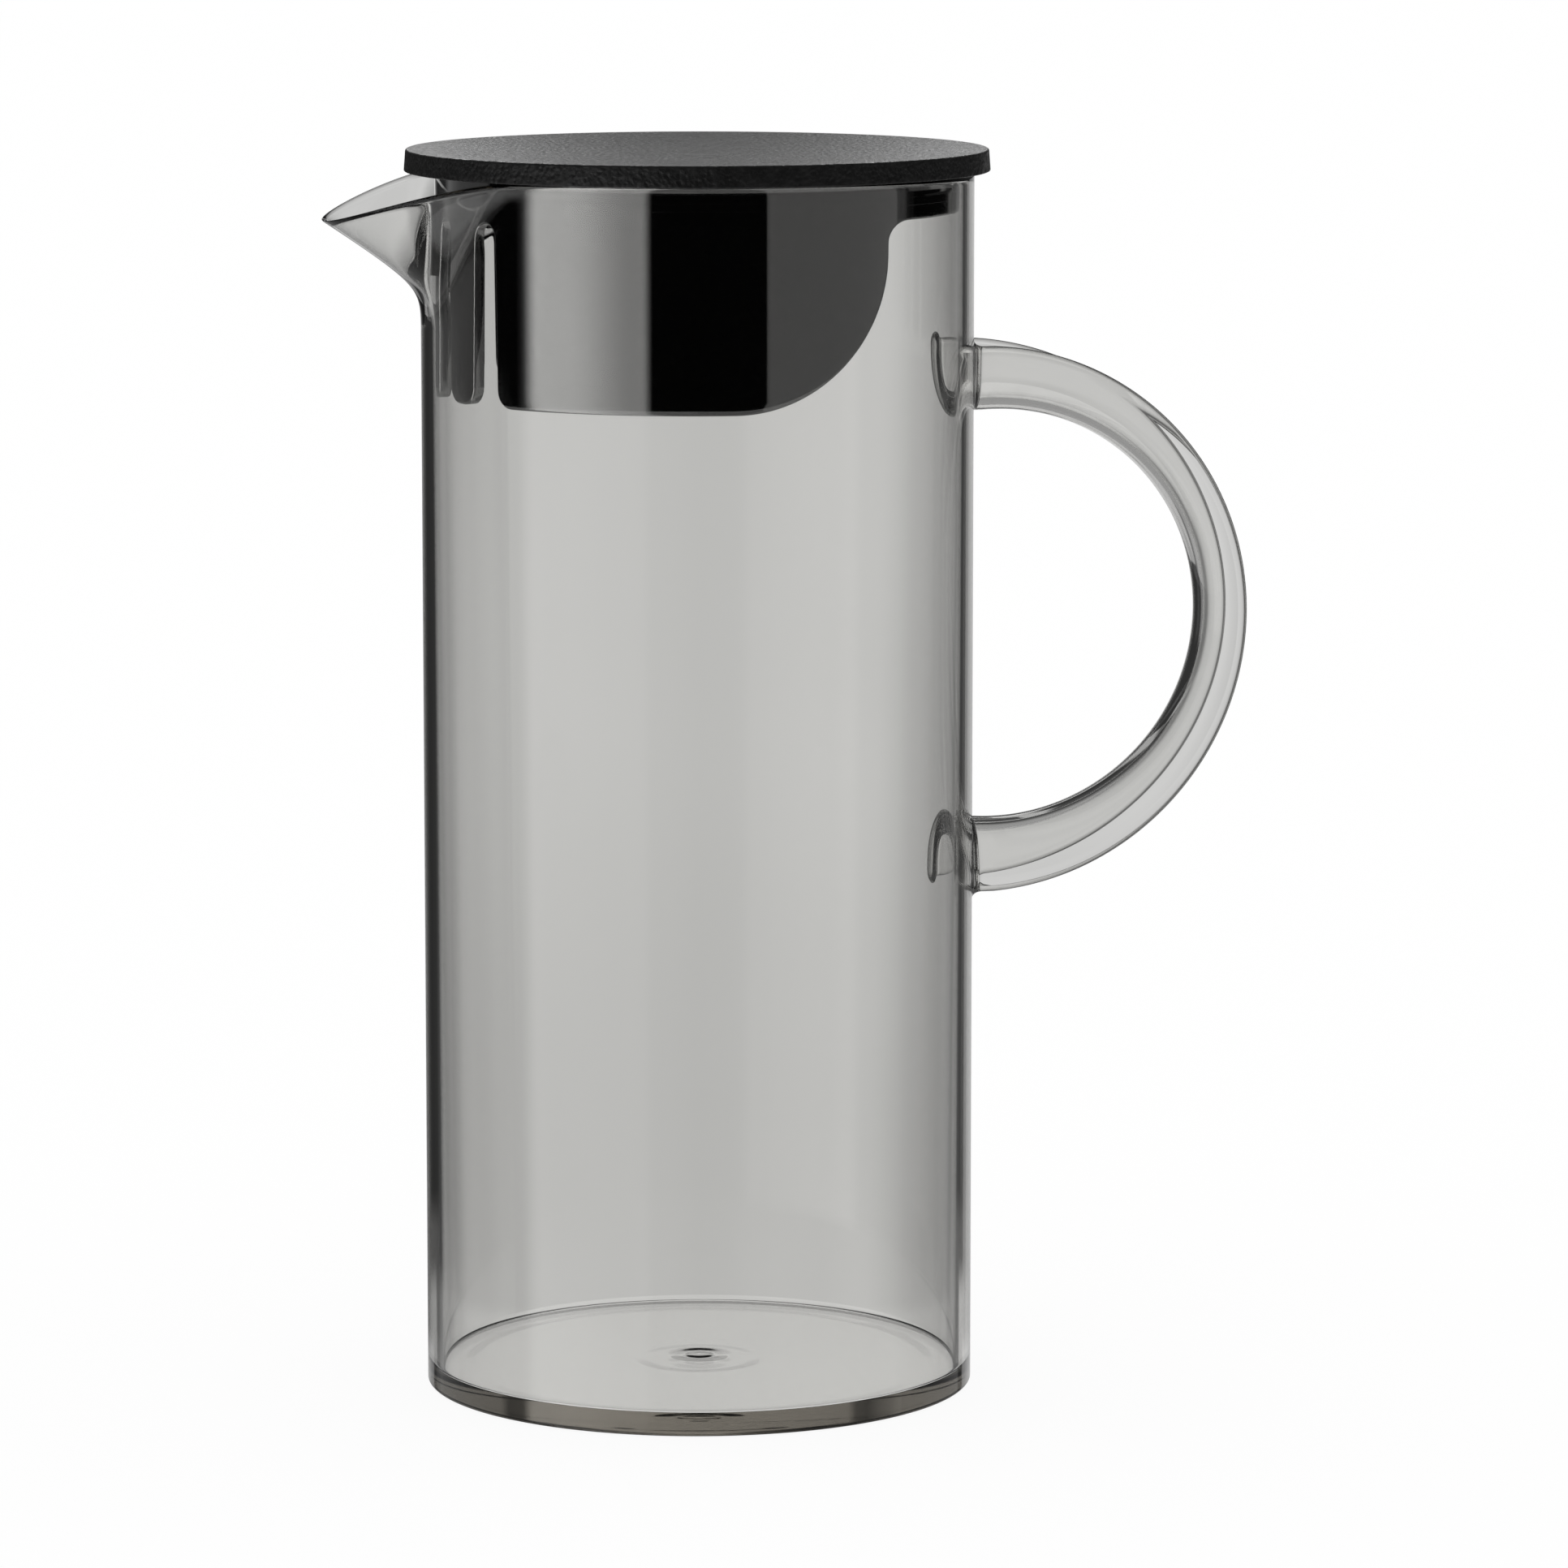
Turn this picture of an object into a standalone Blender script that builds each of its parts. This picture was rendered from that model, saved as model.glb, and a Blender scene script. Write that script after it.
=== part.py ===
# Lidded water jug: a clear smoke-grey beaker with a drawn-out spout and a bonded channel handle,
# and a black lid with a strainer skirt that turns in the brim and lifts out.
# Metres, +Z up. The origin is on the jug's axis, on the surface that it stands on.
# The handle points along +X and the spout along -X.

import bpy
import bmesh
from math import atan2, cos, hypot, pi, radians, sin, sqrt
from mathutils import Matrix

OBJECT_NAME = "lidded_jug"

# Clearances
SEAT_GAP = 0.0003            # between pieces that touch
LID_CLEARANCE = 0.0006       # between the skirt and the inside of the wall

# Jug body
BODY_RADIUS = 0.0500
BODY_WALL = 0.0020
BODY_HEIGHT = 0.2218
LIP_ROUND = 0.0005
FLOOR_THICKNESS = 0.0039
FLOOR_FILLET = 0.0006
FOOT_EDGE_ROUND = 0.0005
FOOT_RING_WIDTH = 0.0065
FOOT_RECESS = 0.0005
GATE_BOSS_RADIUS = 0.0095    # flush round pad in the middle of the underside
GATE_EYE_RADIUS = 0.0049     # shallow dimple in the middle of the floor
GATE_CORE_RADIUS = 0.0024
GATE_EYE_DEPTH = 0.0006

# Spout, drawn out of the top of the wall
SPOUT_REACH = 0.0190         # beyond the wall
SPOUT_HEIGHT = 0.0280        # height of wall that it takes up
SPOUT_DROP = 0.0078          # tip below the brim
SPOUT_TIP_RADIUS = 0.01125   # of the beak, seen from above
SPOUT_BLEND = 0.0040         # how softly the beak runs out into the wall
SPOUT_BEND = 0.37            # share of its height below which it hugs the wall
SPOUT_BEND_SOFTNESS = 0.20

# Handle, a channel that is open on its outer side
HANDLE_MID_HEIGHT = 0.1400
HANDLE_HALF_HEIGHT = 0.0501  # of the loop that the channel's outer edges follow
HANDLE_REACH = 0.0517        # of that loop beyond the wall
HANDLE_STANDOFF = 0.0004     # centre of the loop beyond the wall
HANDLE_FOOT_WIDTH = 0.0212
HANDLE_FOOT_DEPTH = 0.0127
HANDLE_FOOT_WALL = 0.0021
HANDLE_GRIP_WIDTH = 0.0159   # in the middle of the loop
HANDLE_GRIP_DEPTH = 0.0077
HANDLE_GRIP_WALL = 0.0014
HANDLE_ROUNDNESS = 2.4       # exponent of the section: 2 is an ellipse, more is squarer

# Lid cap
CAP_OVERHANG = 0.0029        # rim beyond the wall
CAP_HEIGHT = 0.0039
CAP_PLATE = 0.0022           # thickness inside the rim
CAP_EDGE_ROUND = 0.0006

# Strainer skirt
LID_TURN = radians(-9.0)     # of the lid as it stands, from where its slots face the spout
SKIRT_WALL = 0.0021
SKIRT_DEPTH = 0.0398         # below the brim, on the slotted side
SKIRT_BACK_DEPTH = 0.0067    # below the brim, on the cut-away side
SKIRT_CORNER = 0.0039        # between the cut-away curve and the short side
SKIRT_CUT_RISE = 0.0019      # straight part between that curve and the corner
SKIRT_CUT_START = 0.0039     # beyond the axis, where the cut-away curve leaves the lower edge
SLOT_COUNT = 5
SLOT_PITCH = radians(17.9)
SLOT_FOOT_WIDTH = 0.0064
SLOT_TOP_WIDTH = 0.0054
SLOT_TOP_DROP = 0.0073       # top of the slots below the brim
SLOT_MOUTH_ROUND = 0.0033

# Seal ring, in a groove of the skirt
SEAL_DROP = 0.0034           # middle of the ring below the brim
SEAL_GROOVE_HEIGHT = 0.0014
SEAL_GROOVE_DEPTH = 0.0008
POCKET_HALF_ANGLE = radians(37.0)
POCKET_DEPTH = 0.0012        # relief over the seal, on the cut-away side

# Mesh fineness
TURN_STEPS = 120
LID_STEPS = 96
ROUND_STEPS = 3
SPOUT_ROWS = 9
HANDLE_STEPS = 28
HANDLE_SECTION_STEPS = 12
CURVE_STEPS = 14
MERGE_DISTANCE = 0.000001
CUT_MARGIN = 0.0020          # how far a cutter runs past what it cuts
SHARP_ANGLE = radians(35.0)

BODY_INSIDE = BODY_RADIUS - BODY_WALL
SPOUT_START = BODY_HEIGHT - SPOUT_HEIGHT
SPOUT_TIP = BODY_RADIUS + SPOUT_REACH
SKIRT_RADIUS = BODY_INSIDE - LID_CLEARANCE
SKIRT_INSIDE = SKIRT_RADIUS - SKIRT_WALL
CAP_UNDERSIDE = SEAT_GAP     # lid heights are from the brim
CAP_TOP = CAP_UNDERSIDE + CAP_HEIGHT
CAP_RECESS_TOP = CAP_TOP - CAP_PLATE


def clear_scene():
    for item in list(bpy.data.objects):
        bpy.data.objects.remove(item, do_unlink=True)


def new_collection(name):
    collection = bpy.data.collections.new(name)
    bpy.context.scene.collection.children.link(collection)
    return collection


def axis_empty(name, collection, height, parent=None):
    empty = bpy.data.objects.new(name, None)
    collection.objects.link(empty)
    empty.parent = parent
    empty.location.z = height
    return empty


def finish(name, colour, roughness, transmission=0.0):
    material = bpy.data.materials.new(name)
    material.use_nodes = True
    shader = material.node_tree.nodes["Principled BSDF"]
    shader.inputs["Base Color"].default_value = (*colour, 1.0)
    shader.inputs["Roughness"].default_value = roughness
    shader.inputs["Metallic"].default_value = 0.0
    shader.inputs["Transmission Weight"].default_value = transmission
    return material


def add_piece(name, mesh, collection, parent=None, material=None):
    piece = bpy.data.objects.new(name, mesh)
    collection.objects.link(piece)
    piece.parent = parent
    if material:
        mesh.materials.append(material)
    return piece


def arc(centre, radius, start, end, steps):
    points = []
    for step in range(steps + 1):
        angle = radians(start + (end - start) * step / steps)
        points.append((centre[0] + radius * cos(angle), centre[1] + radius * sin(angle)))
    return points


def outline_mesh(name, outline, closed):
    mesh = bpy.data.meshes.new(name)
    edges = [(index, index + 1) for index in range(len(outline) - 1)]
    if closed:
        edges.append((len(outline) - 1, 0))
    mesh.from_pydata([(across, 0.0, height) for across, height in outline], edges, [])
    return mesh


def turn(piece, steps):
    screw = piece.modifiers.new("turn", "SCREW")
    screw.axis = "Z"
    screw.angle = 2.0 * pi
    screw.steps = steps
    screw.render_steps = steps
    screw.use_merge_vertices = True
    screw.merge_threshold = MERGE_DISTANCE
    screw.use_smooth_shade = True


def evaluated_mesh(piece):
    depsgraph = bpy.context.evaluated_depsgraph_get()
    return bpy.data.meshes.new_from_object(piece.evaluated_get(depsgraph))


def smooth(mesh):
    mesh.shade_smooth()
    mesh.set_sharp_from_angle(angle=SHARP_ANGLE)


def prism(name, outline, near, far, collection):
    # A flat outline in X and Z, given a thickness along Y: a cutter.
    build = bmesh.new()
    corners = [build.verts.new((across, near, height)) for across, height in outline]
    face = build.faces.new(corners)
    swept = bmesh.ops.extrude_face_region(build, geom=[face])
    moved = [item for item in swept["geom"] if isinstance(item, bmesh.types.BMVert)]
    bmesh.ops.translate(build, verts=moved, vec=(0.0, far - near, 0.0))
    bmesh.ops.recalc_face_normals(build, faces=build.faces)
    mesh = bpy.data.meshes.new(name)
    build.to_mesh(mesh)
    build.free()
    return as_cutter(add_piece(name, mesh, collection))


def as_cutter(piece):
    piece.hide_render = True
    piece.display_type = "WIRE"
    return piece


def cut(piece, cutter):
    boolean = piece.modifiers.new(cutter.name, "BOOLEAN")
    boolean.operation = "DIFFERENCE"
    boolean.solver = "EXACT"
    boolean.object = cutter


# Jug body

def body_profile():
    inside = BODY_INSIDE
    floor = FLOOR_THICKNESS
    rows = [SPOUT_START + (SPOUT_HEIGHT - LIP_ROUND) * row / SPOUT_ROWS for row in range(SPOUT_ROWS)]
    ring_inside = BODY_RADIUS - FOOT_RING_WIDTH
    profile = [(0.0, floor - GATE_EYE_DEPTH)]
    profile.append((GATE_CORE_RADIUS, floor - GATE_EYE_DEPTH))
    profile.append((GATE_EYE_RADIUS, floor))
    profile += arc((inside - FLOOR_FILLET, floor + FLOOR_FILLET), FLOOR_FILLET, -90, 0, ROUND_STEPS)
    profile += [(inside, row) for row in rows]
    profile += arc((inside + LIP_ROUND, BODY_HEIGHT - LIP_ROUND), LIP_ROUND, 180, 90, ROUND_STEPS)
    profile += arc((BODY_RADIUS - LIP_ROUND, BODY_HEIGHT - LIP_ROUND), LIP_ROUND, 90, 0, ROUND_STEPS)
    profile += [(BODY_RADIUS, row) for row in reversed(rows)]
    edge = (BODY_RADIUS - FOOT_EDGE_ROUND, FOOT_EDGE_ROUND)
    profile += arc(edge, FOOT_EDGE_ROUND, 0, -90, ROUND_STEPS)
    profile.append((ring_inside, 0.0))
    profile.append((ring_inside - FOOT_RECESS, FOOT_RECESS))
    profile.append((GATE_BOSS_RADIUS + FOOT_RECESS, FOOT_RECESS))
    profile.append((GATE_BOSS_RADIUS, 0.0))
    profile.append((0.0, 0.0))
    return profile


def beak_radius(angle):
    # Distance from the jug's axis to the beak's outer rim: a parabola from above, eased into the wall.
    across = sin(angle) ** 2
    ahead = cos(angle)
    reach = SPOUT_TIP
    if across > MERGE_DISTANCE:
        root = sqrt(ahead ** 2 + 2.0 * SPOUT_TIP * across / SPOUT_TIP_RADIUS)
        reach = (root - ahead) * SPOUT_TIP_RADIUS / across
    beyond = reach - BODY_RADIUS
    if beyond >= SPOUT_BLEND:
        return reach
    if beyond <= -SPOUT_BLEND:
        return BODY_RADIUS
    return BODY_RADIUS + (beyond + SPOUT_BLEND) ** 2 / (4.0 * SPOUT_BLEND)


def beak_ramp(share):
    # How far out the spout has come at a share of its height: a soft bend, then a straight slope.
    def bend(value):
        return value - SPOUT_BEND + hypot(value - SPOUT_BEND, SPOUT_BEND_SOFTNESS)
    return (bend(share) - bend(0.0)) / (bend(1.0) - bend(0.0))


def beak_drop(angle):
    # The rim dips from where the beak leaves the wall to its tip.
    spread = SPOUT_TIP_RADIUS ** 2 - 2.0 * SPOUT_TIP_RADIUS * SPOUT_TIP + BODY_RADIUS ** 2
    start = SPOUT_TIP_RADIUS + sqrt(max(spread, 0.0))
    ahead = (beak_radius(angle) * cos(angle) - start) / (SPOUT_TIP - start)
    ahead = min(max(ahead, 0.0), 1.0)
    return SPOUT_DROP * ahead * ahead * (3.0 - 2.0 * ahead)


def spout_angle(point):
    return abs(atan2(point.y, -point.x))


def draw_out_spout(build):
    for vert in build.verts:
        share = (vert.co.z - SPOUT_START) / SPOUT_HEIGHT
        angle = spout_angle(vert.co)
        if share <= 0.0 or angle > pi / 2.0:
            continue
        pull = (beak_radius(angle) - BODY_RADIUS) * beak_ramp(share)
        radius = hypot(vert.co.x, vert.co.y)
        vert.co.x *= (radius + pull) / radius
        vert.co.y *= (radius + pull) / radius
        vert.co.z -= beak_drop(angle) * share


def plain_wall_rows(build):
    # The rows that only the spout needs, on the part of the wall that stays straight.
    low = SPOUT_START + MERGE_DISTANCE
    high = BODY_HEIGHT - LIP_ROUND - MERGE_DISTANCE
    rows = []
    for edge in build.edges:
        heights = [vert.co.z for vert in edge.verts]
        level = abs(heights[0] - heights[1]) < MERGE_DISTANCE
        straight = all(beak_radius(spout_angle(vert.co)) <= BODY_RADIUS for vert in edge.verts
                       if vert.co.x < 0.0)
        if level and straight and low < heights[0] < high:
            rows.append(edge)
    return rows


def make_jug_body(collection, parent, material):
    blank = add_piece("jug_blank", outline_mesh("jug_blank", body_profile(), False), collection)
    turn(blank, TURN_STEPS)
    mesh = evaluated_mesh(blank)
    bpy.data.objects.remove(blank, do_unlink=True)
    build = bmesh.new()
    build.from_mesh(mesh)
    bmesh.ops.dissolve_edges(build, edges=plain_wall_rows(build), use_verts=True)
    draw_out_spout(build)
    bmesh.ops.triangulate(build, faces=[face for face in build.faces if len(face.verts) > 4])
    build.to_mesh(mesh)
    build.free()
    mesh.name = "jug_body"
    smooth(mesh)
    return add_piece("jug_body", mesh, collection, parent, material)


# Handle

def channel_curve(half_width, depth, lip):
    # One side of the channel's wall, from one lip round the web to the other: (across, depth).
    power = 2.0 / HANDLE_ROUNDNESS
    points = []
    for step in range(HANDLE_SECTION_STEPS + 1):
        angle = pi * step / HANDLE_SECTION_STEPS
        side = 1.0 if cos(angle) < 0.0 else -1.0
        across = side * half_width * abs(cos(angle)) ** power
        points.append((across, lip + (depth - lip) * abs(sin(angle)) ** power))
    return points


def channel_section(slimness):
    # The channel's closed outline: outer wall, a round lip, inner wall, and a round lip.
    # It slims from its size at the feet, at 0, to its size in the middle of the loop, at 1.
    half_width = (HANDLE_FOOT_WIDTH + (HANDLE_GRIP_WIDTH - HANDLE_FOOT_WIDTH) * slimness) / 2.0
    depth = HANDLE_FOOT_DEPTH + (HANDLE_GRIP_DEPTH - HANDLE_FOOT_DEPTH) * slimness
    wall = HANDLE_FOOT_WALL + (HANDLE_GRIP_WALL - HANDLE_FOOT_WALL) * slimness
    lip = wall / 2.0
    outer = channel_curve(half_width, depth, lip)
    inner = channel_curve(half_width - wall, depth - wall, lip)
    return outer + [(half_width - lip, 0.0)] + inner[::-1] + [(lip - half_width, 0.0)]


def handle_ring(turned):
    # The section at an angle along the loop, 0 at the upper foot and pi at the lower one.
    at_foot = sin(turned) < MERGE_DISTANCE
    ring = []
    for across, inward in channel_section(sin(turned)):
        ahead = BODY_RADIUS + HANDLE_STANDOFF
        ahead += (HANDLE_REACH - HANDLE_STANDOFF - inward) * sin(turned)
        if at_foot:
            ahead = sqrt((BODY_RADIUS + SEAT_GAP) ** 2 - across ** 2)
        height = HANDLE_MID_HEIGHT + (HANDLE_HALF_HEIGHT - inward) * cos(turned)
        ring.append((ahead, across, height))
    return ring


def make_handle(collection, parent, material):
    build = bmesh.new()
    rings = []
    for step in range(HANDLE_STEPS + 1):
        rings.append([build.verts.new(point) for point in handle_ring(pi * step / HANDLE_STEPS)])
    count = len(rings[0])
    for ring, following in zip(rings, rings[1:]):
        for index in range(count):
            after = (index + 1) % count
            build.faces.new((ring[index], ring[after], following[after], following[index]))
    last = HANDLE_SECTION_STEPS
    for ring in (rings[0], rings[-1]):
        for index in range(last):
            build.faces.new((ring[index], ring[index + 1], ring[count - 3 - index], ring[count - 2 - index]))
        build.faces.new((ring[last], ring[last + 1], ring[last + 2]))
        build.faces.new((ring[count - 2], ring[count - 1], ring[0]))
    bmesh.ops.recalc_face_normals(build, faces=build.faces)
    mesh = bpy.data.meshes.new("handle")
    build.to_mesh(mesh)
    build.free()
    smooth(mesh)
    return add_piece("handle", mesh, collection, parent, material)


# Lid, with heights from the brim

def make_lid_cap(collection, parent, material):
    radius = BODY_RADIUS + CAP_OVERHANG
    recess = SKIRT_RADIUS + SEAT_GAP
    rounding = CAP_EDGE_ROUND
    profile = [(0.0, CAP_TOP)]
    profile += arc((radius - rounding, CAP_TOP - rounding), rounding, 90, 0, ROUND_STEPS)
    profile += arc((radius - rounding, CAP_UNDERSIDE + rounding), rounding, 0, -90, ROUND_STEPS)
    profile += [(recess, CAP_UNDERSIDE), (recess, CAP_RECESS_TOP), (0.0, CAP_RECESS_TOP)]
    cap = add_piece("lid_cap", outline_mesh("lid_cap", profile, False), collection, parent, material)
    turn(cap, LID_STEPS)
    return cap


def skirt_profile():
    groove_top = SEAL_GROOVE_HEIGHT / 2.0 - SEAL_DROP
    groove_bottom = groove_top - SEAL_GROOVE_HEIGHT
    groove_radius = SKIRT_RADIUS - SEAL_GROOVE_DEPTH
    top = CAP_RECESS_TOP - SEAT_GAP
    profile = [(SKIRT_INSIDE, top), (SKIRT_RADIUS, top), (SKIRT_RADIUS, groove_top)]
    profile += [(groove_radius, groove_top), (groove_radius, groove_bottom)]
    profile += [(SKIRT_RADIUS, groove_bottom), (SKIRT_RADIUS, -SKIRT_DEPTH), (SKIRT_INSIDE, -SKIRT_DEPTH)]
    return profile


def cut_away_outline():
    # Side view of what the cut-away side lacks: a quarter round up from the lower edge, then a short level edge.
    level = -SKIRT_BACK_DEPTH - SKIRT_CORNER
    sweep = SKIRT_DEPTH + level - SKIRT_CUT_RISE
    far = SKIRT_RADIUS + CUT_MARGIN
    low = -SKIRT_DEPTH - CUT_MARGIN
    outline = arc((SKIRT_CUT_START, level - SKIRT_CUT_RISE), sweep, -90, 0, CURVE_STEPS)
    outline += arc((SKIRT_CUT_START + sweep + SKIRT_CORNER, level), SKIRT_CORNER, 180, 90, ROUND_STEPS * 2)
    outline += [(far, -SKIRT_BACK_DEPTH), (far, low), (SKIRT_CUT_START, low)]
    return outline


def slot_outline():
    # A slot seen along the radius: open below with rounded corners, and narrowing to a round top.
    foot = SLOT_FOOT_WIDTH / 2.0
    crown = SLOT_TOP_WIDTH / 2.0
    mouth = foot + SLOT_MOUTH_ROUND
    low = -SKIRT_DEPTH - CUT_MARGIN
    half = [(mouth, low)]
    half += arc((mouth, SLOT_MOUTH_ROUND - SKIRT_DEPTH), SLOT_MOUTH_ROUND, -90, -180, ROUND_STEPS * 2)
    half += arc((0.0, -SLOT_TOP_DROP - crown), crown, 0, 90, ROUND_STEPS)
    return half + [(-across, height) for across, height in reversed(half[:-1])]


def pocket_cutter(collection):
    # A shallow relief round the cut-away side of the skirt, between the seal and the cap.
    low = SEAL_GROOVE_HEIGHT / 2.0 - SEAL_DROP - SEAT_GAP
    near = SKIRT_RADIUS - POCKET_DEPTH
    far = SKIRT_RADIUS + CUT_MARGIN
    build = bmesh.new()
    corners = [(near, low), (far, low), (far, CAP_UNDERSIDE), (near, CAP_UNDERSIDE)]
    start = Matrix.Rotation(-POCKET_HALF_ANGLE, 4, "Z")
    face = build.faces.new([build.verts.new((across, 0.0, height)) for across, height in corners])
    bmesh.ops.transform(build, matrix=start, verts=build.verts)
    bmesh.ops.spin(build, geom=[face] + face.edges[:] + face.verts[:], axis=(0.0, 0.0, 1.0),
                   cent=(0.0, 0.0, 0.0), angle=2.0 * POCKET_HALF_ANGLE, steps=LID_STEPS // 4)
    bmesh.ops.recalc_face_normals(build, faces=build.faces)
    mesh = bpy.data.meshes.new("pocket_cutter")
    build.to_mesh(mesh)
    build.free()
    return as_cutter(add_piece("pocket_cutter", mesh, collection))


def make_strainer_skirt(collection, cutters, parent, material):
    mesh = outline_mesh("strainer_skirt", skirt_profile(), True)
    skirt = add_piece("strainer_skirt", mesh, collection, parent, material)
    turn(skirt, LID_STEPS)
    half_width = SKIRT_RADIUS + CUT_MARGIN
    cutting = [prism("cut_away_cutter", cut_away_outline(), -half_width, half_width, cutters)]
    for index in range(SLOT_COUNT):
        near = SKIRT_INSIDE - CUT_MARGIN
        slot = prism("slot_cutter_%d" % (index + 1), slot_outline(), near, half_width, cutters)
        slot.rotation_euler.z = pi / 2.0 + SLOT_PITCH * (index - (SLOT_COUNT - 1) / 2.0)
        cutting.append(slot)
    cutting.append(pocket_cutter(cutters))
    for cutter in cutting:
        cutter.parent = parent
        cut(skirt, cutter)
    return skirt


def make_lid_seal(collection, parent, material):
    inside = SKIRT_RADIUS - SEAL_GROOVE_DEPTH + SEAT_GAP
    outside = BODY_INSIDE - SEAT_GAP
    top = SEAL_GROOVE_HEIGHT / 2.0 - SEAL_DROP - SEAT_GAP
    bottom = top - SEAL_GROOVE_HEIGHT + 2.0 * SEAT_GAP
    profile = [(inside, top), (outside, top), (outside, bottom), (inside, bottom)]
    mesh = outline_mesh("lid_seal", profile, True)
    seal = add_piece("lid_seal", mesh, collection, parent, material)
    turn(seal, LID_STEPS)
    return seal


def main():
    clear_scene()
    parts = new_collection(OBJECT_NAME)
    cutters = new_collection(OBJECT_NAME + "_cutters")
    jug = axis_empty("jug_axis", parts, 0.0)
    lift = axis_empty("lid_lift_axis", parts, BODY_HEIGHT, jug)
    lid = axis_empty("lid_turn_axis", parts, 0.0, lift)
    lid.rotation_euler.z = LID_TURN
    make_jug_body(parts, jug, finish("smoke_clear_body", (0.42, 0.42, 0.41), 0.04, 0.9))
    make_handle(parts, jug, finish("smoke_clear_handle", (0.45, 0.45, 0.44), 0.05, 0.9))
    make_lid_cap(parts, lid, finish("grained_black", (0.025, 0.025, 0.026), 0.55))
    make_strainer_skirt(parts, cutters, lid, finish("gloss_black", (0.012, 0.013, 0.013), 0.12))
    make_lid_seal(parts, lift, finish("seal_black", (0.02, 0.02, 0.02), 0.6))


main()
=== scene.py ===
from math import acos, cos, degrees, hypot, pi, radians, sin, sqrt
import bmesh
import bpy
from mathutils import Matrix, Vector


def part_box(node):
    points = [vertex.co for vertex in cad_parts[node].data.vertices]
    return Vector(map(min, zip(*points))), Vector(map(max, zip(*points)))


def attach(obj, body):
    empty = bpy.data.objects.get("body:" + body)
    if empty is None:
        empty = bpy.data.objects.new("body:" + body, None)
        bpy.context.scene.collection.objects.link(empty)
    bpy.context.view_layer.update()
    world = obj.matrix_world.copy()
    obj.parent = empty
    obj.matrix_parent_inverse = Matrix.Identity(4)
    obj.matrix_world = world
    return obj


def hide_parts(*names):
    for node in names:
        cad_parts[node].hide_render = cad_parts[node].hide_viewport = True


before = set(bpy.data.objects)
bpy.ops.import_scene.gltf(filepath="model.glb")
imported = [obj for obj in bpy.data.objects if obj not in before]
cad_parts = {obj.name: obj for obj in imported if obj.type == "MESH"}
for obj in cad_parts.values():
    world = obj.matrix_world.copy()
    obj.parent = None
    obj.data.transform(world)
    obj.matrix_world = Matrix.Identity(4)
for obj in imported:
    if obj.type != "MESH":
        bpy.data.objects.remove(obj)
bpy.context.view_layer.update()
scene = bpy.context.scene
print("frame loaded:", sorted(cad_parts))

jugLow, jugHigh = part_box("jug_body")
handleLow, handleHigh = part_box("handle")
capLow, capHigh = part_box("lid_cap")
skirtLow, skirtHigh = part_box("strainer_skirt")
sealLow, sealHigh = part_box("lid_seal")
jugRadius = jugHigh.y
brim = jugHigh.z
spoutTip = -jugLow.x


# shared mesh helpers

def arc(across, height, radius, start, end, steps):
    turns = [radians(start + (end - start) * step / steps) for step in range(steps + 1)]
    return [(across + radius * cos(turn), height + radius * sin(turn)) for turn in turns]


def supported(profile, near):
    # extra points beside the ends of long straight runs, so that flat faces shade flat
    points = [profile[0]]
    for (a, b), (c, d) in zip(profile, profile[1:]):
        length = hypot(c - a, d - b)
        if length > 4 * near:
            points.append((a + (c - a) * near / length, b + (d - b) * near / length))
            points.append((c - (c - a) * near / length, d - (d - b) * near / length))
        points.append((c, d))
    return points


def gridMesh(name, rings, closed=False, caps=False, sharpAngle=32, weld=1e-8):
    # quads between neighbouring rings of points, welded where points meet
    build = bmesh.new()
    rows = [[build.verts.new(point) for point in ring] for ring in rings]
    count = len(rows[0])
    pairs = list(zip(rows, rows[1:]))
    if closed:
        pairs.append((rows[-1], rows[0]))
    for ring, following in pairs:
        for index in range(count if caps else count - 1):
            after = (index + 1) % count
            build.faces.new((ring[index], ring[after], following[after], following[index]))
    if caps:
        for ring in (rows[0], rows[-1]):
            for index in range(count // 2 - 1):  # strips across the end of a channel
                facing = count - 1 - index
                build.faces.new((ring[index], ring[index + 1], ring[facing - 1], ring[facing]))
    bmesh.ops.remove_doubles(build, verts=build.verts, dist=weld)
    bmesh.ops.dissolve_degenerate(build, edges=build.edges, dist=weld)
    bmesh.ops.recalc_face_normals(build, faces=build.faces)
    mesh = bpy.data.meshes.new(name)
    build.to_mesh(mesh)
    build.free()
    mesh.shade_smooth()
    mesh.set_sharp_from_angle(angle=radians(sharpAngle))
    return mesh


def turnedRings(profile, steps):
    rings = []
    for step in range(steps):
        turn = 2 * pi * step / steps
        rings.append([(across * cos(turn), across * sin(turn), height) for across, height in profile])
    return rings


def addPiece(name, mesh, material, body, node):
    piece = bpy.data.objects.new(name, mesh)
    scene.collection.objects.link(piece)
    mesh.materials.append(material)
    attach(piece, body)
    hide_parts(node)
    print("piece", name, "on", body, "with", len(mesh.polygons), "faces")
    return piece


# shader helpers

def setStops(ramp, stops):
    while len(ramp.elements) < len(stops):
        ramp.elements.new(1.0)
    for element, (place, colour) in zip(ramp.elements, stops):
        element.position = place
        element.color = colour


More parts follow.
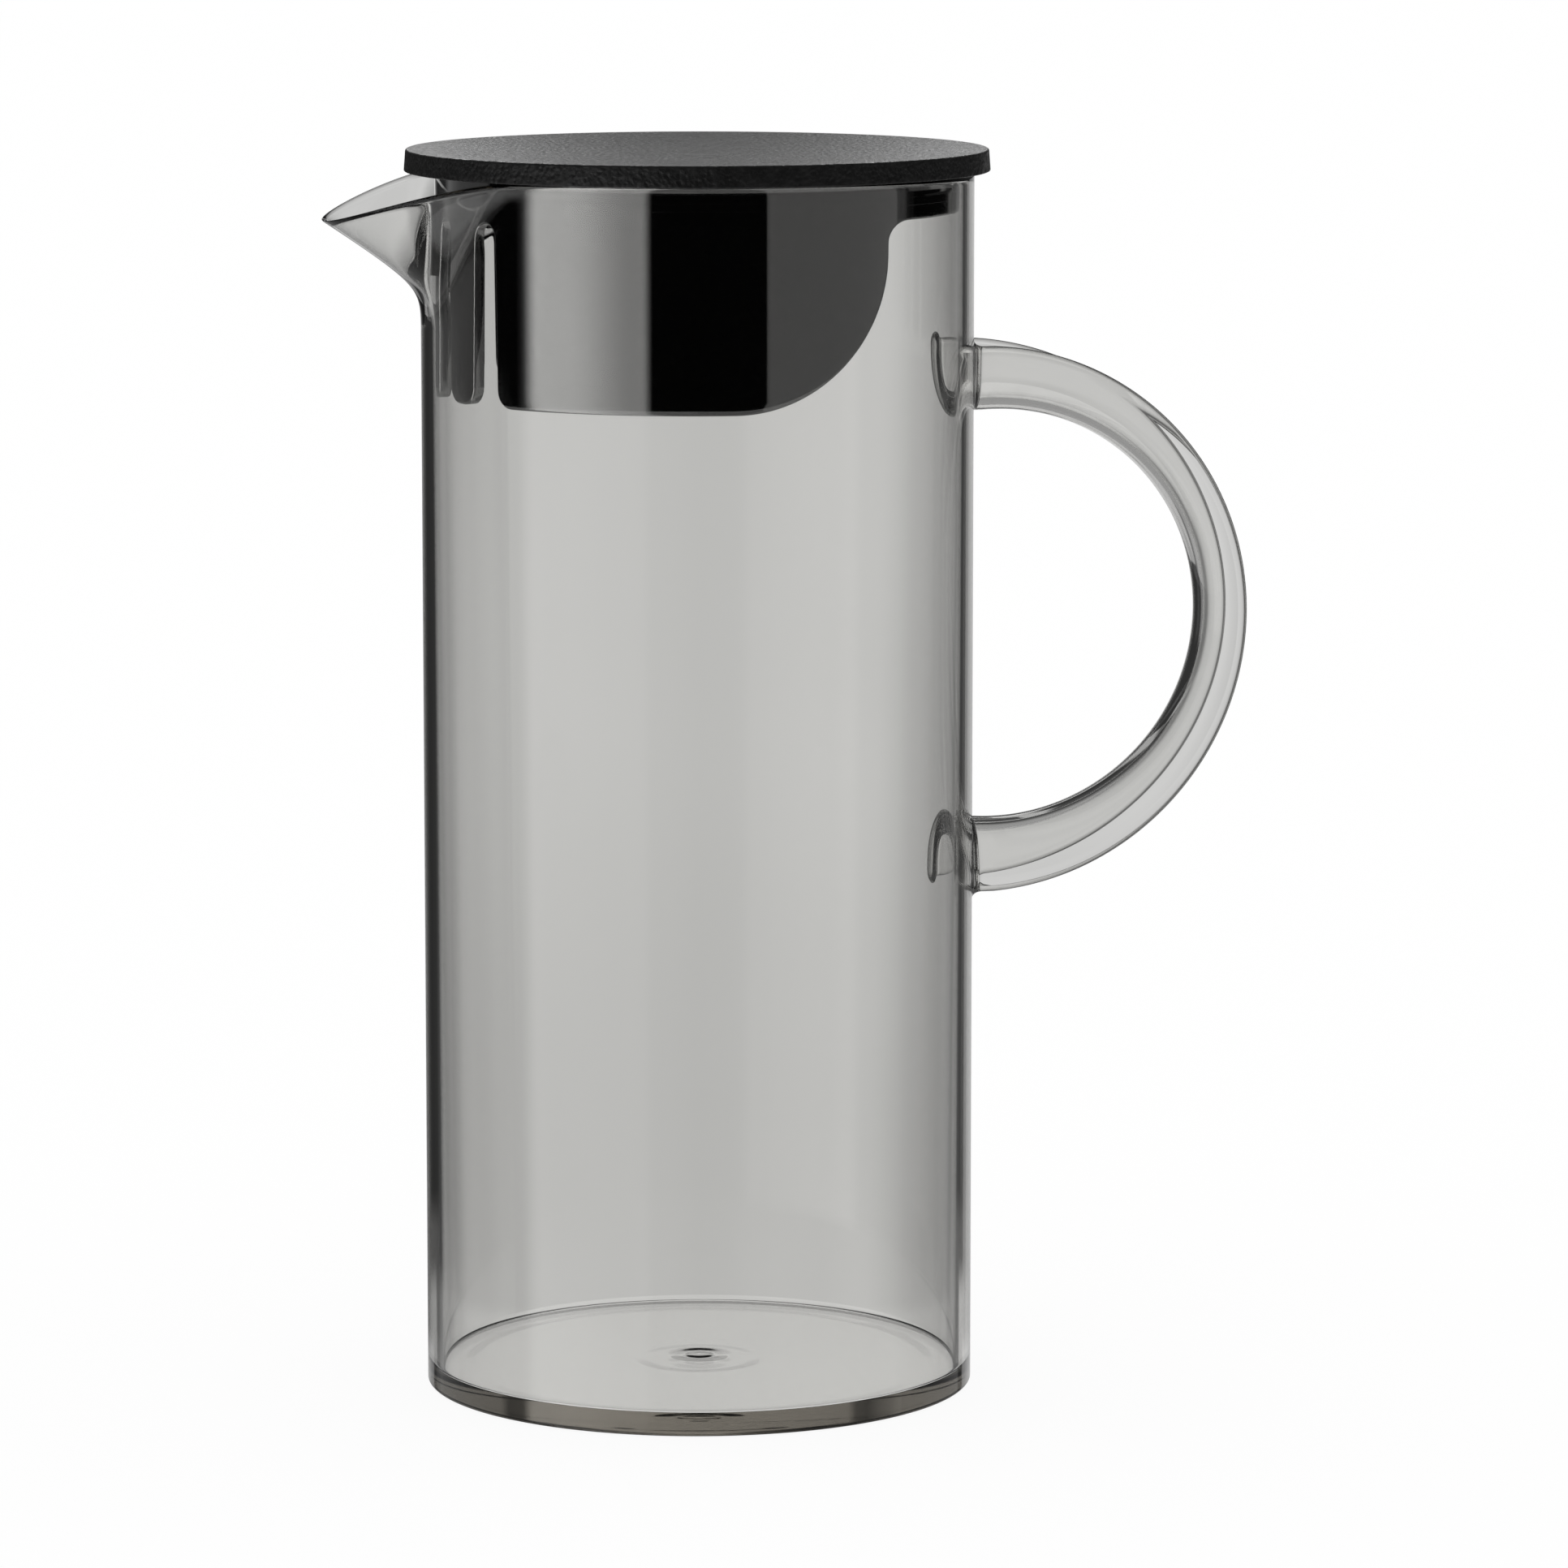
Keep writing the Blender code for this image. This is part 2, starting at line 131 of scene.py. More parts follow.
class Wire:  # a socket that takes part in Python expressions
    def __init__(self, tree, socket=None):
        self.tree = tree
        self.socket = socket

    def node(self, kind, settings=None, sockets=None, out=0):
        made = self.tree.nodes.new("ShaderNode" + kind)
        for name, value in (settings or {}).items():
            if name == "stops":
                setStops(made.color_ramp, value)
            else:
                setattr(made, name, value)
        for name, value in (sockets or {}).items():
            if isinstance(value, Wire):
                self.tree.links.new(value.socket, made.inputs[name])
            else:
                made.inputs[name].default_value = value
        return Wire(self.tree, made.outputs[out] if made.outputs else None)

    def math(self, operation, *terms):
        return self.node("Math", {"operation": operation}, dict(enumerate(terms)))

    def __add__(self, other):
        return self.math("ADD", self, other)

    def __radd__(self, other):
        return self.math("ADD", other, self)

    def __sub__(self, other):
        return self.math("SUBTRACT", self, other)

    def __rsub__(self, other):
        return self.math("SUBTRACT", other, self)

    def __mul__(self, other):
        return self.math("MULTIPLY", self, other)

    def __rmul__(self, other):
        return self.math("MULTIPLY", other, self)

    def __truediv__(self, other):
        return self.math("DIVIDE", self, other)

    def __rtruediv__(self, other):
        return self.math("DIVIDE", other, self)

    def between(self, low, high):  # 0 below low, 1 above high, eased
        return self.node("MapRange", {"interpolation_type": "SMOOTHSTEP"},
                         {"Value": self, "From Min": low, "From Max": high})


def grey(value):
    return (value, value, value, 1.0)


def emptyTree(owner):
    # of a material or a world
    owner.use_nodes = True
    owner.node_tree.nodes.clear()
    return Wire(owner.node_tree)


def tinted(wire, factor, dark, light):
    return wire.node("Mix", {"data_type": "RGBA"}, {0: factor, 6: dark, 7: light}, 2)


# clear smoke plastic, for the jug and its handle

smoke = {
    "tint": (0.940, 0.940, 0.930, 1.0),
    "tintLow": (0.920, 0.920, 0.910, 1.0),
    # painted shade: the colour that the handle's lips and its bond to the jug are darkened to
    "paintedEdgeShade": (0.20, 0.20, 0.195, 1.0),
    "gloss": 0.006,
    "haze": 0.006,
    "bend": 1.57,  # refractive index
    "reflect": (0.2, 0.2, 0.2, 1.0),
    "depthColour": (0.60, 0.575, 0.53, 1.0),
    "depthDensity": 34.0,
    "flow": 14.0,
    "specks": 900.0,
    "scuffed": (0.0002, 0.0012),  # height over which the foot's fine scuffs from the table run out
    "scuffHaze": 0.05,
}


def smokePlastic(name, edges=None):
    s = smoke
    material = bpy.data.materials.new(name)
    wire = emptyTree(material)
    place = wire.node("TexCoord", out="Object")
    flow = wire.node("TexNoise", None, {"Vector": place, "Scale": s["flow"], "Detail": 2.0})
    specks = wire.node("TexNoise", None, {"Vector": place, "Scale": s["specks"], "Detail": 3.0})
    height = wire.node("SeparateXYZ", None, {0: place}, 2)
    worn = 1 - height.between(*s["scuffed"])
    haze = flow.between(0.45, 0.75) * s["haze"] + s["gloss"]
    colour = tinted(wire, flow.between(0.3, 0.7), s["tintLow"], s["tint"])
    # painted shade, darkening the colour where the mask picks out edges
    if edges:
        colour = tinted(wire, edges(wire, place), colour, s["paintedEdgeShade"])
    surface = wire.node("BsdfPrincipled", None, {
        "Base Color": colour,
        "Roughness": haze + worn * specks.between(0.5, 0.7) * s["scuffHaze"],
        "IOR": s["bend"],
        "Specular Tint": s["reflect"],
        "Transmission Weight": 1.0,
    })
    depth = wire.node("VolumeAbsorption", None, {"Color": s["depthColour"], "Density": s["depthDensity"]})
    wire.node("OutputMaterial", None, {"Surface": surface, "Volume": depth})
    return material


# jug body: a turned wall and floor, with the beak drawn out of the brim

jugBody = {
    "wall": 0.0020,  # at the brim
    "wallFoot": 0.0027,  # the mould's draft thickens it downwards
    "lipRound": 0.00085,
    "floor": 0.0039,
    "floorFillet": 0.0005,
    "footRound": 0.0005,
    "footRing": 0.0065,
    "footRecess": 0.000018,
    "recessRamp": 0.0020,
    "gateBoss": 0.0095,
    "gateEye": 0.0062,
    "gateCore": 0.0028,
    "gateSteps": 14,
    "gateDepth": 0.000075,
    "gateDome": 0.000095,
    "spoutHeight": 0.0280,
    "spoutDrop": 0.0078,
    "dropPower": 1.40,
    "tipRadius": 0.0145,
    "tipThinning": 0.60,  # of the wall, out to the tip
    "spoutBlend": 0.0040,
    "spoutNarrowing": 1.5,  # of the beak, down the wall
    "spoutBend": 0.37,
    "bendSoftness": 0.20,
    "startSoftness": 0.06,
    "spoutRows": 30,
    "roundSteps": 7,
    "fineAngle": 54,
    "fineStep": 0.6,
    "plainStep": 2.0,
    "support": 0.0004,
    "straight": 1e-9,  # squared sine under which a column lies straight ahead
    "slantStep": 0.01,  # degrees over which the wall's slant is measured
}


def bodyProfile():
    s = jugBody
    inside = jugRadius - s["wall"]
    foot = jugRadius - s["wallFoot"]
    floor = s["floor"]
    steps = s["roundSteps"]
    spoutStart = brim - s["spoutHeight"]
    low = floor - s["gateDepth"]
    eye = s["gateEye"] - s["gateCore"]
    inner = []
    for step in range(s["gateSteps"] + 1):  # low flat-topped dome in the middle of the dimple
        share = step / s["gateSteps"]
        inner.append((s["gateCore"] * share, low + s["gateDome"] * (1 - share ** 4) ** 2))
    for step in range(1, steps + 1):  # dimple's eased side
        share = step / steps
        inner.append((s["gateCore"] + eye * share, low + s["gateDepth"] * share * share * (3 - 2 * share)))
    fillet = s["floorFillet"]
    inner += arc(foot - fillet, floor + fillet, fillet, -90, 0, steps)
    inner = supported(inner + [(inside, spoutStart)], s["support"])
    span = s["spoutHeight"] - s["lipRound"]
    rows = [spoutStart + span * (row / s["spoutRows"]) for row in range(1, s["spoutRows"])]
    lip = s["lipRound"]
    top = [(inside, row) for row in rows]
    top += arc(inside + lip, brim - lip, lip, 180, 90, steps)
    top += arc(jugRadius - lip, brim - lip, lip, 90, 0, steps)
    top += [(jugRadius, row) for row in reversed(rows)]
    edge = s["footRound"]
    ring = jugRadius - s["footRing"]
    recess = s["footRecess"]
    ramp = s["recessRamp"]
    boss = s["gateBoss"]
    outer = [(jugRadius, spoutStart)]
    outer += arc(jugRadius - edge, edge, edge, 0, -90, steps)
    outer += [(ring, 0.0), (ring - ramp, recess), (boss + ramp, recess), (boss, 0.0), (0.0, 0.0)]
    return inner + top + supported(outer, s["support"])


def beakRadius(turn):
    # a parabola seen from above, eased into the round wall
    s = jugBody
    tip = s["tipRadius"]
    across = sin(turn) ** 2
    reach = spoutTip
    if across > s["straight"]:
        root = sqrt(cos(turn) ** 2 + 2 * spoutTip * across / tip)
        reach = (root - cos(turn)) * tip / across
    beyond = reach - jugRadius
    soft = s["spoutBlend"]
    if abs(beyond) < soft:
        return jugRadius + (beyond + soft) ** 2 / (4 * soft)
    return max(reach, jugRadius)


def beakRamp(share):
    s = jugBody

    def bend(value):
        return value - s["spoutBend"] + hypot(value - s["spoutBend"], s["bendSoftness"])
    ramp = (bend(share) - bend(0)) / (bend(1) - bend(0))
    return ramp * (1 + s["startSoftness"]) * share / (share + s["startSoftness"])


def beakDrop(turn):
    s = jugBody
    tip = s["tipRadius"]
    start = tip + sqrt(max(tip ** 2 - 2 * tip * spoutTip + jugRadius ** 2, 0))
    ahead = (beakRadius(turn) * cos(turn) - start) / (spoutTip - start)
    ahead = min(max(ahead, 0), 1)
    return s["spoutDrop"] * ahead ** s["dropPower"]


def bodyTurns():
    # columns are closer together round the beak
    s = jugBody
    fine = round(2 * s["fineAngle"] / s["fineStep"])
    plain = round((360 - 2 * s["fineAngle"]) / s["plainStep"])
    turns = [-s["fineAngle"] + 2 * s["fineAngle"] * step / fine for step in range(fine)]
    turns += [s["fineAngle"] + (360 - 2 * s["fineAngle"]) * step / plain for step in range(plain)]
    return [radians(turn) for turn in turns]


def outerReach(turn, share):
    # the outer face of the wall at one height, whose share is 0 where the beak starts and 1 at the brim
    slimmed = turn * (1 + jugBody["spoutNarrowing"] * (1 - share))
    beyond = beakRadius(slimmed) - jugRadius if abs(slimmed) < pi / 2 else 0.0
    return jugRadius + beyond * beakRamp(share)


def makeJugBody(material):
    s = jugBody
    spoutStart = brim - s["spoutHeight"]
    profile = bodyProfile()
    step = radians(s["slantStep"])
    rings = []
    for turn in bodyTurns():
        drop = beakDrop(turn) if cos(turn) > 0 else 0.0
        signed = turn if turn < pi else turn - 2 * pi
        ring = []
        for across, height in profile:
            share = max((height - spoutStart) / s["spoutHeight"], 0.0)
            reach = outerReach(signed, share)
            slant = (outerReach(signed + step, share) - outerReach(signed - step, share)) / (2 * step)
            thinner = 1 - s["tipThinning"] * (reach - jugRadius) / (spoutTip - jugRadius)
            inset = (jugRadius - across) * thinner / hypot(reach, slant)  # square to the outer face
            outward = reach - inset * reach
            aside = inset * slant
            ring.append((aside * sin(turn) - outward * cos(turn), aside * cos(turn) + outward * sin(turn),
                         height - drop * share))
        rings.append(ring)
    mesh = gridMesh("jugBody", rings, closed=True)
    return addPiece("jugBody", mesh, material, "jug", "jug_body")


# handle: a channel of even wall, swept round a loop and flared where it is bonded to the jug

handleLoop = {
    "depth": 0.0127,  # at the feet
    "wall": 0.0021,
    "gripWidth": 0.0159,  # in the middle of the loop
    "gripDepth": 0.0077,
    "gripWall": 0.0014,
    "roundness": 2.4,
    "standoff": 0.0004,
    "bondGap": 0.00003,
    "flare": 0.0013,
    "footTurn": 3.2,
    "lipShade": 0.979,  # share of the loop's reach from where painted shade darkens its lips
    "bondShade": (0.0005, 0.0012),  # from the wall, over which painted shade darkens the bond
    "bondDarkness": 0.85,
    "footRings": 12,
    "footEase": 1.6,  # rings lie closer together at the wall
    "loopRings": 120,
    "sideSteps": 30,
    "lipSteps": 7,
}


def channelSection(slim, flare):
    # a stroke of even thickness along half a superellipse, with round lips: (across, inward)
    s = handleLoop
    half = handleHigh.y + (s["gripWidth"] / 2 - handleHigh.y) * slim
    thick = s["wall"] + (s["gripWall"] - s["wall"]) * slim
    depth = s["depth"] + (s["gripDepth"] - s["depth"]) * slim
    power = 2 / s["roundness"]
    line = []
    for step in range(s["sideSteps"] + 1):
        turn = pi * step / s["sideSteps"]
        side = -1 if cos(turn) > 0 else 1
        across = side * (half - thick / 2) * abs(cos(turn)) ** power
        line.append((across, thick / 2 + (depth - thick) * abs(sin(turn)) ** power))
    reach = thick / 2 + flare
    outer = []
    inner = []
    for index, (across, inward) in enumerate(line):
        before = line[max(index - 1, 0)]
        after = line[min(index + 1, len(line) - 1)]
        along = Vector((after[0] - before[0], after[1] - before[1])).normalized()
        if index in (0, len(line) - 1):
            along = Vector((0, 1 if index == 0 else -1))
        outer.append((across - along.y * reach, inward + along.x * reach))
        inner.append((across + along.y * reach, inward - along.x * reach))
    lips = []
    for centre in (line[-1], line[0]):
        lips.append([(centre[0] + reach * cos(turn), centre[1] - reach * sin(turn))
                     for turn in [pi * step / s["lipSteps"] for step in range(1, s["lipSteps"])]])
    return outer + lips[0] + inner[::-1] + lips[1]


def wallFace(across, gap):
    return sqrt((jugRadius + gap) ** 2 - across ** 2)


def loopRing(turn, flare):
    s = handleLoop
    middle = (handleLow.z + handleHigh.z) / 2
    halfHeight = (handleHigh.z - handleLow.z) / 2
    reach = handleHigh.x - jugRadius - s["standoff"]
    ring = []
    for across, inward in channelSection(sin(turn), flare):
        ahead = jugRadius + s["standoff"] + (reach - inward) * sin(turn)
        ring.append((ahead, across, middle + (halfHeight - inward) * cos(turn)))
    return ring


def flareAt(distance):
    radius = handleLoop["flare"]
    if distance >= radius:
        return 0.0
    return radius - sqrt(radius ** 2 - (radius - distance) ** 2)


def footRings(turn):
    # from the wall of the jug out to the first ring of the loop
    s = handleLoop
    length = (handleHigh.x - jugRadius) * sin(turn)
    rings = []
    for step in range(s["footRings"]):
        share = (step / s["footRings"]) ** s["footEase"]
        flare = flareAt(share * length)
        ring = []
        for ahead, across, height in loopRing(turn, flare):
            start = wallFace(across, s["bondGap"])
            ring.append((start + (ahead - start) * share, across, height))
        rings.append(ring)
    return rings


def handlePaintedShade(wire, place):
    # painted shade along the lips of the channel, and at the joint where it is bonded to the jug
    s = handleLoop
    middle = (handleLow.z + handleHigh.z) / 2
    across, aside, height = [wire.node("SeparateXYZ", None, {0: place}, axis) for axis in range(3)]
    ahead = (across - jugRadius - s["standoff"]) / (handleHigh.x - jugRadius - s["standoff"])
    above = (height - middle) / (handleHigh.z - middle)
    lip = wire.math("SQRT", ahead * ahead + above * above).between(s["lipShade"], 1.0)
    near, far = s["bondShade"]
    wallGap = wire.math("SQRT", across * across + aside * aside) - jugRadius
    return wire.math("MAXIMUM", lip, (1 - wallGap.between(near, far)) * s["bondDarkness"])


def makeHandle(material):
    s = handleLoop
    first = radians(s["footTurn"])
    rings = footRings(first)
    for step in range(s["loopRings"] + 1):
        turn = first + (pi - 2 * first) * step / s["loopRings"]
        rings.append(loopRing(turn, 0.0))
    rings += footRings(pi - first)[::-1]
    mesh = gridMesh("handle", rings, caps=True)
    return addPiece("handleLoop", mesh, material, "jug", "handle")


# lid cap: a grained disc

lidCap = {
    "topRound": 0.0004,
    "footRound": 0.0002,
    "draft": 0.00025,
    "plate": 0.0022,
    "recessGap": 0.0003,
    "dish": 0.00035,
    "dishSteps": 12,
    "roundSteps": 8,
    "turnSteps": 256,
    "support": 0.0004,
    "colour": (0.0016, 0.0016, 0.0016, 1.0),
    "colourHigh": (0.0050, 0.0050, 0.0050, 1.0),
    "pits": 1300.0,
    "pitShare": 0.8,  # of the pits in the grain
    "clump": 420.0,
    "broad": 60.0,
    "grainDepth": 0.85,
    "grainHeight": 0.0003,
    "roughness": (0.29, 0.16, 0.05),  # everywhere, in clumps and in broad patches
    "bend": 1.38,
}


def grainedBlack():
    s = lidCap
    material = bpy.data.materials.new("grainedBlack")
    wire = emptyTree(material)
    place = wire.node("TexCoord", out="Object")
    pits = wire.node("TexVoronoi", {"feature": "SMOOTH_F1"}, {"Vector": place, "Scale": s["pits"]})
    clump = wire.node("TexNoise", None,
                      {"Vector": place, "Scale": s["clump"], "Detail": 6.0, "Roughness": 0.75})
    broad = wire.node("TexNoise", None, {"Vector": place, "Scale": s["broad"], "Detail": 4.0})
    bump = wire.node("Bump", None, {"Strength": s["grainDepth"], "Distance": s["grainHeight"],
                                    "Height": pits * s["pitShare"] + clump})
    even, clumped, patchy = s["roughness"]
    surface = wire.node("BsdfPrincipled", None, {
        "Base Color": tinted(wire, clump.between(0.42, 0.68), s["colour"], s["colourHigh"]),
        "Roughness": broad.between(0.3, 0.7) * patchy + clump.between(0.35, 0.65) * clumped + even,
        "Normal": bump,
        "IOR": s["bend"],
    })
    wire.node("OutputMaterial", None, {"Surface": surface})
    return material


def makeLidCap(material):
    s = lidCap
    radius = capHigh.x
    recess = skirtHigh.x + s["recessGap"]
    steps = s["roundSteps"]
    top = [(0.0, capHigh.z - s["dish"])]
    rim = radius - s["draft"] - s["topRound"]
    for step in range(1, s["dishSteps"] + 1):  # very shallow dish that rises to the rim
        share = step / s["dishSteps"]
        top.append((rim * share, capHigh.z - s["dish"] * (1 - share * share)))
    profile = top + arc(rim, capHigh.z - s["topRound"], s["topRound"], 90, 0, steps)[1:]
    profile += arc(radius - s["footRound"], capLow.z + s["footRound"], s["footRound"], 0, -90, steps)
    profile += [(recess, capLow.z), (recess, capHigh.z - s["plate"]), (0.0, capHigh.z - s["plate"])]
    mesh = gridMesh("lidCap", turnedRings(supported(profile, s["support"]), s["turnSteps"]), closed=True)
    return addPiece("lidCap", mesh, material, "lid", "lid_cap")


# polished black, for the strainer skirt and its seal

polish = {
    "IOR": 1.52,
    "Coat Weight": 1.0,
    "Coat Roughness": 0.012,
    "Coat IOR": 2.3,
}


# strainer skirt: a tube with five slots on one side and a quarter round cut away on the other

skirt = {
    "turn": -9.0,  # degrees from where the slots face the spout
    "wall": 0.0021,
    "edgeRound": 0.00035,
    "slotPitch": 17.9,
    "slotFoot": 0.0064,
    "slotTop": 0.0054,
    "slotDrop": 0.0073,
    "mouthRound": 0.0033,
    "backDepth": 0.0067,
    "corner": 0.0039,
    "cutRise": 0.0019,
    "cutStart": 0.0039,
    "grooveDrop": 0.0034,
    "grooveHeight": 0.0014,
    "grooveDepth": 0.0008,
    "pocketAngle": 37.0,
    "pocketDepth": 0.0012,
    "pocketEdge": 0.05,  # degrees on both sides of where the pocket starts
    "shelfDrop": 0.0007,  # first row of the plain face, under the groove
    "outerRows": (0.0, 0.3, 0.7, 0.96),  # shares of the plain face
    "innerRows": (0.04, 0.3, 0.7, 1.0),
    "roundSteps": 6,
    "edgeSteps": 4,
    "cutSteps": 40,
    "cornerSteps": 12,
    "plainStep": 2.5,
    "colour": (0.0012, 0.0013, 0.0013, 1.0),
    "colourHigh": (0.0022, 0.0023, 0.0023, 1.0),
    "flow": 35.0,
    "gloss": 0.02,
    "haze": 0.02,
}


def glossBlack():
    s = skirt
    material = bpy.data.materials.new("glossBlack")
    wire = emptyTree(material)
    place = wire.node("TexCoord", out="Object")
    flow = wire.node("TexNoise", None, {"Vector": place, "Scale": s["flow"], "Detail": 3.0})
    surface = wire.node("BsdfPrincipled", None, {
        "Base Color": tinted(wire, flow.between(0.35, 0.7), s["colour"], s["colourHigh"]),
        "Roughness": flow.between(0.3, 0.7) * s["haze"] + s["gloss"],
        **polish,
    })
    wire.node("OutputMaterial", None, {"Surface": surface})
    return material


def slotEdge(middle, depth):
    # half of the lower edge's outline round one slot, mirrored: (along, height) with along from the spout
    s = skirt
    foot = s["slotFoot"] / 2
    crown = s["slotTop"] / 2
    mouth = foot + s["mouthRound"]
    half = arc(mouth, s["mouthRound"] - depth, s["mouthRound"], -90, -180, s["roundSteps"])
    half += arc(0.0, -s["slotDrop"] - crown, crown, 0, 90, s["roundSteps"])
    left = [(middle - along, height) for along, height in half]
    right = [(middle + along, height) for along, height in reversed(half[:-1])]
    return left + right


def lowerEdge(radius, depth):
    # the skirt's lower edge, rolled out flat, from the spout to the handle
    s = skirt
    edge = [(along, height) for along, height in slotEdge(0.0, depth) if along >= 0]
    for index in (1, 2):
        edge += slotEdge(radius * radians(s["slotPitch"] * index), depth)
    curveStart = acos(-s["cutStart"] / radius)
    lastSlot = edge[-1][0] / radius
    plain = round(degrees(curveStart - lastSlot) / s["plainStep"])
    for step in range(1, plain):
        turn = lastSlot + (curveStart - lastSlot) * step / plain
        edge.append((radius * turn, -depth))
    level = -s["backDepth"] - s["corner"]
    sweep = depth + level - s["cutRise"]
    side = arc(s["cutStart"], level - s["cutRise"], sweep, -90, 0, s["cutSteps"])
    side += arc(s["cutStart"] + sweep + s["corner"], level, s["corner"], 180, 90, s["cornerSteps"])[1:]
    edge += [(radius * acos(-across / radius), height) for across, height in side]
    pocket = 180 - s["pocketAngle"]
    last = degrees(edge[-1][0] / radius)
    turns = [pocket - s["pocketEdge"], pocket + s["pocketEdge"]]
    turns += [pocket + s["plainStep"] * step for step in range(1, int(s["pocketAngle"] / s["plainStep"]))]
    turns.append(180.0)
    edge += [(radius * radians(turn), -s["backDepth"]) for turn in turns if turn > last]
    return edge


def skirtColumn(along, height, inward, radius, top):
    # one strip across the wall, from the top outside, under the lower edge, to the top inside
    s = skirt
    rounding = s["edgeRound"]
    inside = radius - s["wall"]
    grooveTop = s["grooveHeight"] / 2 - s["grooveDrop"]
    grooveLow = grooveTop - s["grooveHeight"]
    pocketed = abs(along) > radius * radians(180 - s["pocketAngle"])
    over = radius - (s["pocketDepth"] if pocketed else 0.0)
    groove = radius - s["grooveDepth"]
    under = capLow.z - brim
    faceAlong = along + inward.x * rounding
    faceHeight = height + inward.y * rounding
    shelf = grooveLow - s["shelfDrop"]
    face = [(radius, top), (radius, under), (over, under), (over, grooveTop)]
    face += [(groove, grooveTop), (groove, grooveLow), (radius, grooveLow)]
    face += [(radius, shelf + (faceHeight - shelf) * share) for share in s["outerRows"]]
    points = [(across, faceAlong, level) for across, level in face]
    for step in range(s["edgeSteps"] + 1):
        turn = pi / 2 * step / s["edgeSteps"]
        off = rounding * (1 - sin(turn))
        points.append((radius - rounding * (1 - cos(turn)), along + inward.x * off, height + inward.y * off))
    for step in range(s["edgeSteps"] + 1):
        turn = pi / 2 * (1 - step / s["edgeSteps"])
        off = rounding * (1 - sin(turn))
        points.append((inside + rounding * (1 - cos(turn)), along + inward.x * off, height + inward.y * off))
    for share in s["innerRows"]:
        points.append((inside, faceAlong, faceHeight + (top - faceHeight) * share))
    points.append(points[0])
    return points


def makeStrainerSkirt(material):
    radius = skirtHigh.x
    depth = brim - skirtLow.z
    top = skirtHigh.z - brim
    half = lowerEdge(radius, depth)
    edge = [(-along, height) for along, height in reversed(half[1:-1])] + half
    roll = 2 * pi * radius
    rings = []
    for index, (along, height) in enumerate(edge):
        before = edge[index - 1]
        after = edge[(index + 1) % len(edge)]
        ahead = Vector(((after[0] - before[0]) % roll, after[1] - before[1])).normalized()
        inward = Vector((-ahead.y, ahead.x))
        ring = []
        for across, place, level in skirtColumn(along, height, inward, radius, top):
            turn = place / radius - radians(skirt["turn"])
            ring.append((-across * cos(turn), across * sin(turn), brim + level))
        rings.append(ring)
    mesh = gridMesh("strainerSkirt", rings, closed=True)
    return addPiece("strainerSkirt", mesh, material, "lid", "strainer_skirt")


# seal ring: a soft lip in the skirt's groove

sealRing = {
    "seat": 0.000005,
    "lipRound": 0.00001,
    "support": 0.00003,
    "lipSteps": 5,
    "turnSteps": 192,
    "colour": (0.0012, 0.0013, 0.0013, 1.0),
    "colourHigh": (0.0026, 0.0027, 0.0027, 1.0),
    "bloom": 400.0,
    "gloss": 0.02,
    "haze": 0.02,
}


def sealBlack():
    s = sealRing
    material = bpy.data.materials.new("sealBlack")
    wire = emptyTree(material)
    place = wire.node("TexCoord", out="Object")
    bloom = wire.node("TexNoise", None, {"Vector": place, "Scale": s["bloom"], "Detail": 4.0})
    surface = wire.node("BsdfPrincipled", None, {
        "Base Color": tinted(wire, bloom.between(0.35, 0.7), s["colour"], s["colourHigh"]),
        "Roughness": bloom * s["haze"] + s["gloss"],
        **polish,
    })
    wire.node("OutputMaterial", None, {"Surface": surface})
    return material


def makeLidSeal(material):
    s = sealRing
    inside = skirtHigh.x - skirt["grooveDepth"] + s["seat"]
    outside = skirtHigh.x
    middle = (sealLow.z + sealHigh.z) / 2
    high = middle + skirt["grooveHeight"] / 2 - s["seat"]
    low = middle - skirt["grooveHeight"] / 2 + s["seat"]
    rounding = s["lipRound"]
    profile = [(inside, high)]
    profile += arc(outside - rounding, high - rounding, rounding, 90, 0, s["lipSteps"])
    profile += arc(outside - rounding, low + rounding, rounding, 0, -90, s["lipSteps"])
    profile += [(inside, low), (inside, high)]
    mesh = gridMesh("lidSeal", turnedRings(supported(profile, s["support"]), s["turnSteps"]), closed=True)
    return addPiece("lidSeal", mesh, material, "lid_grip", "lid_seal")


makeJugBody(smokePlastic("smokeClearBody"))
makeHandle(smokePlastic("smokeClearHandle", handlePaintedShade))
lidTop = makeLidCap(grainedBlack())
makeStrainerSkirt(glossBlack())
makeLidSeal(sealBlack())
print("object dressed")


# camera at the photograph's angle

view = {
    "turn": -12.2,  # degrees round the jug, from straight on
    "distance": 1.344,
    "height": 0.306,
    "aimAside": 0.01564,
    "aimHeight": 0.11012,
    "lens": 170.85,
    "sensor": 36.0,
}
viewTurn = radians(view["turn"])
towardsCamera = Vector((sin(viewTurn), -cos(viewTurn), 0))
toTheRight = Vector((cos(viewTurn), sin(viewTurn), 0))


def makeCamera():
    data = bpy.data.cameras.new("camera")
    data.lens = view["lens"]
    data.sensor_width = view["sensor"]
    camera = bpy.data.objects.new("camera", data)
    scene.collection.objects.link(camera)
    camera.location = towardsCamera * view["distance"] + Vector((0, 0, view["height"]))
    aim = toTheRight * view["aimAside"] + Vector((0, 0, view["aimHeight"]))
    camera.rotation_euler = (aim - camera.location).to_track_quat("-Z", "Y").to_euler()
    scene.camera = camera


# studio: a white sheet behind, dark flags beside it, and two tall soft boxes in front

